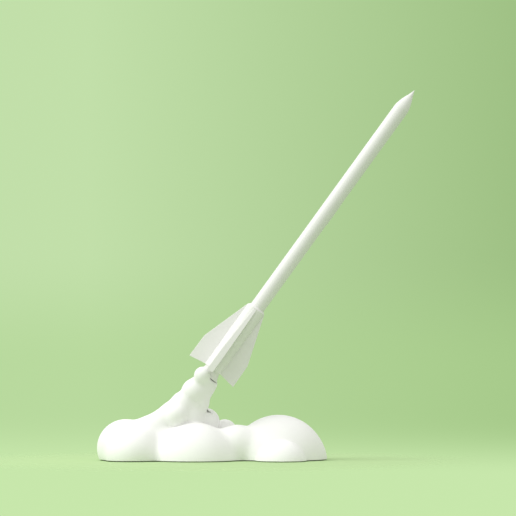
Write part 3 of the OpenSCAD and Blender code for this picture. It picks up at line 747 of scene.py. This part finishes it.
# %% Fin outline, in the rocket's own axes
ROLL = math.radians(2.6)
CAN_R = 16.5 * MM
FIN_TIP_R = 43.2 * MM
FIN_FLARE = 0.6 * MM
FIN_SWEEP = 4.5 * MM
FIN_TIP_LENGTH = 36.5 * MM
FIN_ROOT_TOP = 119.64 * MM
FIN_THIN = 5.2 / 2 * MM
FIN_THICK = 10.6 / 2 * MM
FIN_FRONT = 121.0 * MM
FIN_EDGE = 0.55 * MM
ROOT_R = CAN_R - 1.2 * MM


def fin_half(height):
    """Half thickness of the wedge at a height above the tail end."""
    share = min(max((height - FIN_TIP_LENGTH) / (FIN_FRONT - FIN_TIP_LENGTH), 0), 1)
    return FIN_THICK + (FIN_THIN - FIN_THICK) * share


def fin_piece(name, angle):
    outline = [(ROOT_R, 0), (CAN_R, 0), (FIN_TIP_R + FIN_FLARE, -FIN_SWEEP), (FIN_TIP_R, FIN_TIP_LENGTH),
               (CAN_R, FIN_ROOT_TOP), (ROOT_R, FIN_ROOT_TOP), (ROOT_R, FIN_TIP_LENGTH)]
    bm = bmesh.new()
    sides = []
    for sign in (-1, 1):
        sides.append([bm.verts.new((r, sign * fin_half(h), h)) for r, h in outline])
    for ring in sides:
        bm.faces.new((ring[0], ring[1], ring[2], ring[3], ring[6]))
        bm.faces.new((ring[6], ring[3], ring[4], ring[5]))
    for i in range(len(outline)):
        j = (i + 1) % len(outline)
        bm.faces.new((sides[0][i], sides[0][j], sides[1][j], sides[1][i]))
    bmesh.ops.recalc_face_normals(bm, faces=bm.faces)
    crisp = [e for e in bm.edges if e.calc_face_angle(0) > math.radians(20)]
    bmesh.ops.bevel(bm, geom=crisp, offset=FIN_EDGE, segments=3, profile=0.5, affect="EDGES")
    bm.transform(ROCKET @ Matrix.Rotation(angle, 4, "Z"))
    piece = put_on_show(bm, name, "rocket", [name.replace("_moulding", "")], WHITE_MOULDED)
    piece.modifiers.new("even_shading", "WEIGHTED_NORMAL").keep_sharp = True
    return piece


FIN_ANGLES = {"fin_front": -math.pi / 2 - ROLL, "fin_lower": -ROLL, "fin_rear": math.pi / 2 - ROLL,
              "fin_upper": math.pi - ROLL}
for name, angle in FIN_ANGLES.items():
    fin_piece(name + "_moulding", angle)
print("fins:", ", ".join(FIN_ANGLES))

# %% [markdown]
# ## Nose and tip
# These are turned shapes. A lathe profile with small bevels at its corners, spun in many steps, gives
# clean rims where a CAD mesh has hard ones. The seam between the tip and the nose cone stays, as a small
# step.

# %% Lathe helper
def lathe(name, profile, body, nodes, material, segments=128):
    """Spins a profile round the rocket's axis and puts it on show."""
    bm = bmesh.new()
    rings = []
    for p in profile:
        if p[0] < 1e-7:
            rings.append([bm.verts.new((0, 0, p[1]))])
            continue
        turn = [2 * math.pi * k / segments for k in range(segments)]
        rings.append([bm.verts.new((p[0] * math.cos(a), p[0] * math.sin(a), p[1])) for a in turn])
    for lower_ring, upper_ring in zip(rings, rings[1:]):
        for k in range(segments):
            n = (k + 1) % segments
            corners = [lower_ring[k % len(lower_ring)], lower_ring[n % len(lower_ring)],
                       upper_ring[n % len(upper_ring)], upper_ring[k % len(upper_ring)]]
            face = list(dict.fromkeys(corners))
            if len(face) > 2:
                bm.faces.new(face)
    bmesh.ops.recalc_face_normals(bm, faces=bm.faces)
    bm.transform(ROCKET)
    piece = put_on_show(bm, name, body, nodes, material)
    sharp_edges(piece, 50)
    return piece


TUBE_LENGTH = 526 * MM
TUBE_R = 12.4 * MM
NOSE_LENGTH = 24 * MM
TIP_LENGTH = 13 * MM
TIP_R = 4.7 * MM
NOSE_TOP_R = 5.2 * MM
CROWN = 0.85 * MM
SHOULDER_R = 11.82 * MM
SHOULDER_LENGTH = 24 * MM
NOSE_WALL = 1.6 * MM
SHOULDER_LOW = TUBE_LENGTH - SHOULDER_LENGTH
NOSE_STEPS = 20
TIP_TAPER = 0.8575
TIP_FULL = 0.97

# %% Nose cone and tip
def nose_radius(h):
    """Radius of the nose cone at a height above the tube: a cone with a slight crown."""
    share = h / NOSE_LENGTH
    return TUBE_R + (NOSE_TOP_R - TUBE_R) * share + CROWN * math.sin(math.pi * share)


rises = [NOSE_LENGTH * i / NOSE_STEPS for i in range(NOSE_STEPS + 1)]
outside = [(nose_radius(h), TUBE_LENGTH + h) for h in rises]
inside_r = SHOULDER_R - NOSE_WALL
nose_profile = [(inside_r, SHOULDER_LOW + 0.4 * MM), (inside_r, SHOULDER_LOW),
                (SHOULDER_R - 0.3 * MM, SHOULDER_LOW), (SHOULDER_R, SHOULDER_LOW + 0.6 * MM),
                (SHOULDER_R, TUBE_LENGTH)]
nose_profile += [(TUBE_R - 0.15 * MM, TUBE_LENGTH + 0.02 * MM)] + outside[1:-1]
nose_profile += [(NOSE_TOP_R + 0.1 * MM, TUBE_LENGTH + NOSE_LENGTH - 0.4 * MM),
                 (NOSE_TOP_R - 0.3 * MM, TUBE_LENGTH + NOSE_LENGTH), (0, TUBE_LENGTH + NOSE_LENGTH)]
lathe("nose_moulding", nose_profile, "nose", ["nose_cone"], WHITE_MOULDED)

tip_base = TUBE_LENGTH + NOSE_LENGTH
tip_profile = [(0, tip_base), (TIP_R - 0.25 * MM, tip_base), (TIP_R, tip_base + 0.25 * MM)]
tip_profile += [(TIP_R * TIP_FULL, tip_base + 0.8 * MM)]
tip_profile += [(TIP_R * (TIP_FULL - TIP_TAPER * s ** 1.05), tip_base + TIP_LENGTH * (0.06 + 0.86 * s))
                for s in (0.15, 0.3, 0.45, 0.6, 0.75, 0.9)]
tip_profile += [(TIP_R * 0.1, tip_base + TIP_LENGTH * 0.955), (TIP_R * 0.05, tip_base + TIP_LENGTH * 0.99),
                (0, tip_base + TIP_LENGTH)]
lathe("tip_moulding", tip_profile, "nose", ["nose_tip"], WHITE_MOULDED)
print("nose cone and tip turned; the point is", round((tip_base + TIP_LENGTH) * 1000, 1), "mm above the tail")

# %% [markdown]
# ## Recovery gear inside the tube
# Under the nose cone a flying rocket carries tissue wadding, a rolled canopy and an elastic cord. They show
# only when the nose is pulled. The canopy is one thin sheet wound into a roll, the wadding is a crumpled
# wad with sharp creases, and the cord is a tube swept along its own path.

# %% Rolled canopy
ROLL_LOW = 318.5 * MM
ROLL_LENGTH = 146 * MM
ROLL_CORE = 1.2 * MM
ROLL_PITCH = 0.56 * MM
ROLL_TURNS = 13.5
PER_TURN = 36
ROLL_ROWS = 24


def rolled_point(column, row):
    """A point of the rolled sheet: one spiral, dented and twisted a little, with uneven ends."""
    angle = 2 * math.pi * column / PER_TURN
    share = row / ROLL_ROWS
    height = share * ROLL_LENGTH + (1.3 * MM * math.sin(2 * angle + 0.7)) * (2 * share - 1) ** 3
    dent = 1 - 0.045 * (1 + math.sin(3 * angle + 31 * height)) * (0.6 + 0.4 * math.sin(90 * height))
    slim = 1 - 0.10 * max(share - 0.9, 0) / 0.1
    radius = (ROLL_CORE + ROLL_PITCH * column / PER_TURN) * dent * slim
    return Vector((radius * math.cos(angle), radius * math.sin(angle), ROLL_LOW + height))


bm = bmesh.new()
columns = int(PER_TURN * ROLL_TURNS)
grid = [[bm.verts.new(rolled_point(c, r)) for r in range(ROLL_ROWS + 1)] for c in range(columns + 1)]
for first, second in zip(grid, grid[1:]):
    for r in range(ROLL_ROWS):
        bm.faces.new((first[r], second[r], second[r + 1], first[r + 1]))
bm.transform(ROCKET)
canopy = put_on_show(bm, "rolled_canopy", "rocket", ["parachute"], CLOTH)

# %% Crumpled wadding
WAD_LOW = 93.5 * MM
WAD_LENGTH = 39 * MM
WAD_R = 10.7 * MM
CREASE_SPACING = 5.5 * MM
CREASE_DEPTH = 1.6 * MM
WAD_ROWS = 48
WAD_STEPS = 84
WAD_END = 0.998

bm = bmesh.new()
rings = []
for i in range(WAD_ROWS + 1):
    u = WAD_END * (2 * i / WAD_ROWS - 1)
    radius = WAD_R * (1 - abs(u) ** 5) ** 0.4
    height = WAD_LOW + WAD_LENGTH * (u + 1) / 2
    circle = []
    for k in range(WAD_STEPS):
        angle = 2 * math.pi * k / WAD_STEPS
        outward = Vector((math.cos(angle), math.sin(angle), 0))
        spot = outward * radius + Vector((0, 0, height))
        near, second = noise.voronoi(spot / CREASE_SPACING)[0][:2]
        sink = CREASE_DEPTH * (1 - min((second - near) * 2.2, 1)) * min(radius / WAD_R + 0.2, 1)
        circle.append(bm.verts.new(spot - outward * min(sink, radius * 0.6)))
    rings.append(circle)
for lower_ring, upper_ring in zip(rings, rings[1:]):
    for k in range(WAD_STEPS):
        bm.faces.new((lower_ring[k - 1], lower_ring[k], upper_ring[k], upper_ring[k - 1]))
bm.faces.new(list(reversed(rings[0])))
bm.faces.new(rings[-1])
bmesh.ops.recalc_face_normals(bm, faces=bm.faces)
bm.transform(ROCKET)
wad = put_on_show(bm, "crumpled_wadding", "rocket", ["wadding"], TISSUE)
sharp_edges(wad, 28)
print("wadding:", len(wad.data.polygons), "faces")

# %% Tube swept along a path
def swept_tube(points, radius, steps=10):
    """A closed round tube along the points, without twist."""
    bm = bmesh.new()
    before = [points[0]] + points
    after = points[1:] + [points[-1] * 2 - points[-2]]
    forward = [(b - a).normalized() for a, b in zip(before, after)]
    forward[0] = (points[1] - points[0]).normalized()
    across = forward[0].orthogonal().normalized()
    loops = []
    for point, ahead in zip(points, forward):
        across = (across - ahead * across.dot(ahead)).normalized()
        up = ahead.cross(across)
        turn = [2 * math.pi * k / steps for k in range(steps)]
        loops.append([bm.verts.new(point + (across * math.cos(a) + up * math.sin(a)) * radius) for a in turn])
    for low_loop, high_loop in zip(loops, loops[1:]):
        for k in range(steps):
            bm.faces.new((low_loop[k - 1], low_loop[k], high_loop[k], high_loop[k - 1]))
    bm.faces.new(list(reversed(loops[0])))
    bm.faces.new(loops[-1])
    bmesh.ops.recalc_face_normals(bm, faces=bm.faces)
    return bm


def smooth_path(points, steps=6):
    """Points along a smooth line through the given ones."""
    ends = [points[0] * 2 - points[1]] + points + [points[-1] * 2 - points[-2]]
    line = []
    for a, b, c, d in zip(ends, ends[1:], ends[2:], ends[3:]):
        for i in range(steps):
            s = i / steps
            line.append(0.5 * (2 * b + (c - a) * s + (2 * a - 5 * b + 4 * c - d) * s ** 2
                               + (3 * b - a - 3 * c + d) * s ** 3))
    return line + [points[-1]]


# %% Elastic cord, from its pad on the tube wall to the nose's eyelet
CORD_R = 0.65 * MM
COIL_R = 7.35 * MM
COIL_LOW = 471.9 * MM
COIL_PITCH = 1.5 * MM
COIL_TURNS = 8.375
COIL_START = math.radians(140)
COIL_STEPS = 16
KNOT_R = 0.5 * MM
KNOT_SIZE = 0.42 * MM
KNOT_STEPS = 71
KNOT_AT = Vector((0, 3.0, 493.0)) * MM

from_pad = [(0, 10.3, 466.2), (0, 10.3, 467.6), (-0.3, 10.1, 469.2), (-2.2, 8.9, 471.0)]
to_eyelet = [(2.7, -6.9, 486.1), (3.6, -5.6, 488.4), (2.4, -4.6, 490.8), (0.7, -3.0, 492.5), (0, -1.0, 493.0),
             (0, 1.0, 493.0), (0, 2.4, 493.0)]
coil = []
for i in range(int(COIL_STEPS * COIL_TURNS) + 1):
    angle = COIL_START + 2 * math.pi * i / COIL_STEPS
    height = COIL_LOW + COIL_PITCH * i / COIL_STEPS
    coil.append(Vector((COIL_R * math.cos(angle), COIL_R * math.sin(angle), height)))
print("coil ends at", [round(v * 1000, 1) for v in coil[-1]], "mm")
start_line = [Vector(p) * MM for p in from_pad]
end_line = [Vector(p) * MM for p in to_eyelet]
cord_line = [ROCKET @ p for p in smooth_path(start_line + coil + end_line, steps=3)]
cord = put_on_show(swept_tube(cord_line, CORD_R), "elastic_cord", None, ["shock_cord"], ELASTIC)

trefoil = []
for i in range(KNOT_STEPS + 1):
    a = 2 * math.pi * i / KNOT_STEPS
    loop = Vector((math.sin(a) + 2 * math.sin(2 * a), -math.sin(3 * a), math.cos(a) - 2 * math.cos(2 * a)))
    trefoil.append(ROCKET @ (KNOT_AT + loop * KNOT_SIZE))
knot = put_on_show(swept_tube(trefoil, KNOT_R, 8), "cord_knot", "nose", [], ELASTIC)
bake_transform(cord)

# %% Finish
print("scene built")
